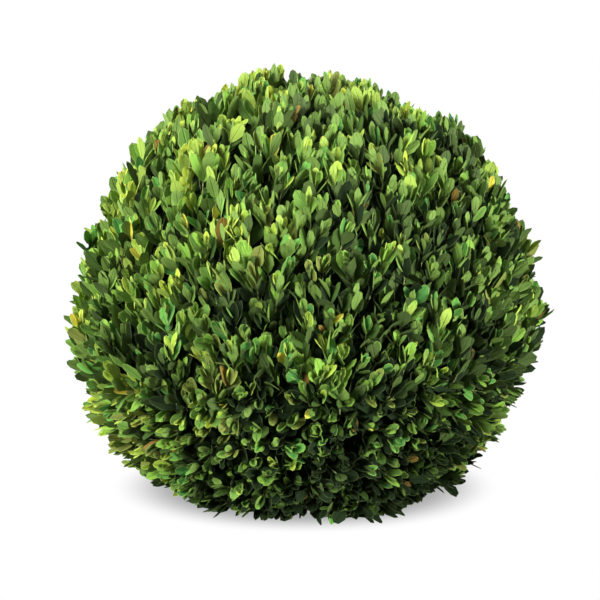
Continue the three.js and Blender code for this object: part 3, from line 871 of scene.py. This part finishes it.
# %% [markdown]
# Bark is dry and dull: grey-brown ridges with darker cracks, and green-grey where it is young. The
# stems are nearly the colour of the leaves they carry. Their colours are patterns that may lie
# anywhere, so here a ramp feeds Base Color.

# %% Bark and stem materials
GRAIN_STRETCH, GRAIN_DETAIL, RAMP_ENDS, BARK_ROUGHNESS = 0.3, 4.0, (0.35, 0.65), 0.85


def bark_material(name, dark, light, scale, bump_distance):
    """Two colours mixed by stretched noise, with the same noise as bump."""
    material, tree, shader = fresh_material(name, light, Roughness=BARK_ROUGHNESS)
    place = node(tree, "ShaderNodeTexCoord", (-1000, 0))
    stretch = node(tree, "ShaderNodeMapping", (-820, 0))
    stretch.inputs["Scale"].default_value = (scale, scale, scale * GRAIN_STRETCH)
    noise = node(tree, "ShaderNodeTexNoise", (-620, 0))
    noise.inputs["Scale"].default_value = 1.0
    noise.inputs["Detail"].default_value = GRAIN_DETAIL
    ramp = node(tree, "ShaderNodeValToRGB", (-420, 0))
    for end, position, colour in zip(ramp.color_ramp.elements, RAMP_ENDS, (dark, light)):
        end.position, end.color = position, (*colour, 1)
    bump = node(tree, "ShaderNodeBump", (-250, -200))
    bump.inputs["Distance"].default_value = bump_distance
    tree.links.new(place.outputs["Object"], stretch.inputs[0])
    tree.links.new(stretch.outputs[0], noise.inputs["Vector"])
    tree.links.new(noise.outputs[0], ramp.inputs[0])
    tree.links.new(ramp.outputs[0], shader.inputs["Base Color"])
    tree.links.new(noise.outputs[0], bump.inputs["Height"])
    tree.links.new(bump.outputs[0], shader.inputs["Normal"])
    return material


OLD_BARK = bark_material("bark_old", (0.035, 0.028, 0.020), (0.20, 0.165, 0.12), 260.0, 0.0008)
YOUNG_BARK = bark_material("bark_young", (0.045, 0.038, 0.022), (0.17, 0.15, 0.085), 500.0, 0.0003)
GREEN_STEM = bark_material("stem_green", (0.07, 0.10, 0.025), (0.24, 0.27, 0.08), 700.0, 0.0001)

# %% [markdown]
# ## Making the meshes
# One function puts arrays into a mesh. The piece's object stays at the origin, and its place is in its
# points. The leaves' margins are marked sharp, so that the upper and the lower skin are shaded
# apart, while each blade is smooth across its few faces.

# %% Mesh helper
MILLIMETRES = 1000


def make_piece(name, points, faces, materials, tones=None, smooth=True):
    """A mesh object from points in millimetres and a list of face arrays, each of one corner count."""
    mesh = bpy.data.meshes.new(name)
    corners = np.concatenate([face.ravel() for face in faces]).astype(np.int32)
    sizes = np.concatenate([np.full(len(face), face.shape[1]) for face in faces])
    starts = np.concatenate([[0], np.cumsum(sizes)[:-1]]).astype(np.int32)
    mesh.vertices.add(len(points))
    mesh.vertices.foreach_set("co", (points / MILLIMETRES).astype(np.float32).ravel())
    mesh.loops.add(len(corners))
    mesh.loops.foreach_set("vertex_index", corners)
    mesh.polygons.add(len(sizes))
    mesh.polygons.foreach_set("loop_start", starts)
    for material in materials:
        mesh.materials.append(material)
    if tones is not None:
        mesh.polygons.foreach_set("material_index", tones.astype(np.int32))
    mesh.polygons.foreach_set("use_smooth", np.full(len(sizes), smooth))
    mesh.update(calc_edges=True)
    piece = bpy.data.objects.new(name, mesh)
    bpy.context.scene.collection.objects.link(piece)
    print(name, "triangles", int((sizes - 2).sum()))
    return piece


def mark_sharp(piece, line):
    """Marks the edges that run along one of a leaf's two margins, or from its base to one."""
    mesh = piece.data
    ends = np.empty(len(mesh.edges) * 2, np.int32)
    mesh.edges.foreach_get("vertices", ends)
    one, other = line[ends.reshape(-1, 2)].T
    sharp = (one > 0) & (other > 0) & ((one == other) | (np.maximum(one, other) == 3))
    mesh.attributes.new("sharp_edge", "BOOLEAN", "EDGE").data.foreach_set("value", sharp)


# %% [markdown]
# The leaves of a mass are joined in four pieces, from the outer pairs to the deep ones, each under
# the two hundred thousand triangles that a mesh file holds well. Stems of a mass are a fifth piece.


def make_leaves(name, mass, layer):
    """Joins the leaves of one mass and layer: the one-leaf corner numbers plus each leaf's first
    point. A face's material is the leaf's tone, or the underside or the rim that goes with it."""
    numbers, stations, rimmed = LAYERS[layer]
    leaf_tones = deal_tones(numbers)[mass_of == mass].ravel()
    leaves = leaves_of(numbers, stations, rimmed)[mass_of == mass]
    per_leaf = leaves.shape[-2]
    first = (np.arange(len(leaf_tones)) * per_leaf)[:, None, None]
    quads, triangles, face_kinds, leaf_map, line = leaf_faces(stations, rimmed)
    faces = [(shape[None] + first).reshape(-1, shape.shape[1]) for shape in (quads, triangles)]
    by_kind = np.stack([leaf_tones, UNDER_OF_TONE[leaf_tones], RIM_OF_TONE[leaf_tones]], axis=-1)
    if layer in ("inner_leaves", "deep_leaves"):
        by_kind[:] = leaf_tones[:, None]
    worn = np.concatenate([by_kind[:, kinds].ravel() for kinds in face_kinds])
    piece = make_piece(name, leaves.reshape(-1, 3), faces, LEAF_MATERIALS, worn)
    corners = np.concatenate([face.ravel() for face in faces])
    uv = piece.data.uv_layers.new(name="leaf")
    uv.data.foreach_set("uv", leaf_map[corners % per_leaf].astype(np.float32).ravel())
    mark_sharp(piece, np.tile(line, len(leaf_tones)))
    dress(piece, mass)


def dress(piece, mass):
    """A piece of a mass rides on the plant's one body and stands for the mass's node."""
    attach(piece, "root")
    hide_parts(MASSES[mass])


for mass, place in enumerate(("skirt", "flank", "crown")):
    for layer in LAYERS:
        make_leaves(layer + "_" + place, mass, layer)
    stems = tubes(above_floor(stem_path[mass_of == mass]), stem_radii[mass_of == mass], STEM_SIDES)
    dress(make_piece("stems_" + place, *stems, [GREEN_STEM]), mass)

# %% Trunk and limb pieces
trunk_piece = make_piece("trunk_bark", *trunk_part, [OLD_BARK])
limb_piece = make_piece("boughs_and_branches", *limb_part, [YOUNG_BARK])
for piece in (trunk_piece, limb_piece):
    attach(piece, "root")
    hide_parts("trunk")

# %% [markdown]
# ## Floor and light
# The ball sits in a white studio. The floor is white to the camera, with a painted shadow round the
# ball's foot, yet it throws little light back up, as a large dark room would, so the underside stays
# deep green. A large soft lamp stands high in front on the left and a weaker one further round. A
# smaller, strong one low on the right reaches in under the leaves, a weak one behind keeps the back
# from going black, and a dim sky that is brighter overhead fills the gaps.

# %% Floor
FLOOR_SIZE, FLOOR_BOUNCE = 12.0, 0.12
# the painted shadow on the floor: the distances in metres over which it fades to white, its squeeze from
# front to back, and its darkest grey
SHADE_EDGES, SHADE_DEPTH, SHADE_GREY = (0.14, 0.22), 1.4, 0.40


def studio_floor():
    """A flat sheet under the plant. To the camera it is even white, with a painted shadow: a soft oval,
    wider than deep, that darkens it where the ball closes down on it. To light that bounces it is a dark
    floor."""
    half = FLOOR_SIZE / 2 * MILLIMETRES
    corners = half * np.array([[-1.0, -1, 0], [1, -1, 0], [1, 1, 0], [-1, 1, 0]])
    material = bpy.data.materials.new("studio_floor")
    material.use_nodes = True
    tree = material.node_tree
    tree.nodes.clear()
    ray = node(tree, "ShaderNodeLightPath")
    place = node(tree, "ShaderNodeTexCoord")
    deeper = node(tree, "ShaderNodeVectorMath", operation="MULTIPLY")
    deeper.inputs[1].default_value = (1.0, SHADE_DEPTH, 1.0)
    from_middle = node(tree, "ShaderNodeVectorMath", operation="LENGTH")
    ramp = node(tree, "ShaderNodeMapRange", interpolation_type="SMOOTHSTEP")
    for socket, value in zip(("From Min", "From Max", "To Min"), (*SHADE_EDGES, SHADE_GREY)):
        ramp.inputs[socket].default_value = value
    seen = node(tree, "ShaderNodeEmission")
    plain = node(tree, "ShaderNodeBsdfDiffuse")
    plain.inputs[0].default_value = (FLOOR_BOUNCE, FLOOR_BOUNCE, FLOOR_BOUNCE, 1)
    choose = node(tree, "ShaderNodeMixShader")
    out = node(tree, "ShaderNodeOutputMaterial")
    tree.links.new(place.outputs["Object"], deeper.inputs[0])
    tree.links.new(deeper.outputs[0], from_middle.inputs[0])
    tree.links.new(from_middle.outputs["Value"], ramp.inputs[0])
    tree.links.new(ramp.outputs[0], seen.inputs["Strength"])
    tree.links.new(ray.outputs["Is Camera Ray"], choose.inputs[0])
    tree.links.new(plain.outputs[0], choose.inputs[1])
    tree.links.new(seen.outputs[0], choose.inputs[2])
    tree.links.new(choose.outputs[0], out.inputs[0])
    floor = make_piece("floor", corners, [np.array([[0, 1, 2, 3]])], [material], smooth=False)
    return floor


studio_floor()

# %% Lamps and sky
LAMPS = {
    "key": ((-1.95, -1.6, 1.15), 1.6, 178.0),
    "left": ((-2.4, 0.4, 1.15), 1.4, 92.0),
    "right": ((2.2, -1.7, 0.15), 0.9, 295.0),
    "back": ((1.1, 2.6, 1.0), 1.0, 60.0),
}
LAMP_TARGET = Vector((0, 0, 0.2))
SKY_LOW, SKY_HIGH, SKY_EDGES, SKY_WHITE = 0.33, 0.86, (-0.1, 1.0), 1.05


def lamp(name, place, size, power):
    """A square area lamp that looks at the middle of the ball."""
    light = bpy.data.lights.new(name, "AREA")
    light.size = size
    light.energy = power
    made = bpy.data.objects.new(name, light)
    made.location = place
    made.rotation_euler = (LAMP_TARGET - Vector(place)).to_track_quat("-Z", "Y").to_euler()
    bpy.context.scene.collection.objects.link(made)


for name, (place, size, power) in LAMPS.items():
    lamp(name, place, size, power)


def studio_sky():
    """To light, a sky whose strength rises smoothly with the height of the direction. To the camera,
    an even white one."""
    world = bpy.data.worlds.new("studio")
    bpy.context.scene.world = world
    world.use_nodes = True
    tree = world.node_tree
    tree.nodes.clear()
    ray = node(tree, "ShaderNodeLightPath")
    way = node(tree, "ShaderNodeTexCoord")
    parts = node(tree, "ShaderNodeSeparateXYZ")
    rise = node(tree, "ShaderNodeMapRange", interpolation_type="SMOOTHSTEP")
    values = (*SKY_EDGES, SKY_LOW, SKY_HIGH)
    for socket, value in zip(("From Min", "From Max", "To Min", "To Max"), values):
        rise.inputs[socket].default_value = value
    dim, white = node(tree, "ShaderNodeBackground"), node(tree, "ShaderNodeBackground")
    for background in (dim, white):
        background.inputs[0].default_value = (1, 1, 1, 1)
    white.inputs[1].default_value = SKY_WHITE
    choose = node(tree, "ShaderNodeMixShader")
    out = node(tree, "ShaderNodeOutputWorld")
    tree.links.new(way.outputs["Generated"], parts.inputs[0])
    tree.links.new(parts.outputs[2], rise.inputs[0])
    tree.links.new(rise.outputs[0], dim.inputs[1])
    tree.links.new(ray.outputs["Is Camera Ray"], choose.inputs[0])
    tree.links.new(dim.outputs[0], choose.inputs[1])
    tree.links.new(white.outputs[0], choose.inputs[2])
    tree.links.new(choose.outputs[0], out.inputs[0])


studio_sky()
bpy.context.scene.view_settings.view_transform = "Standard"
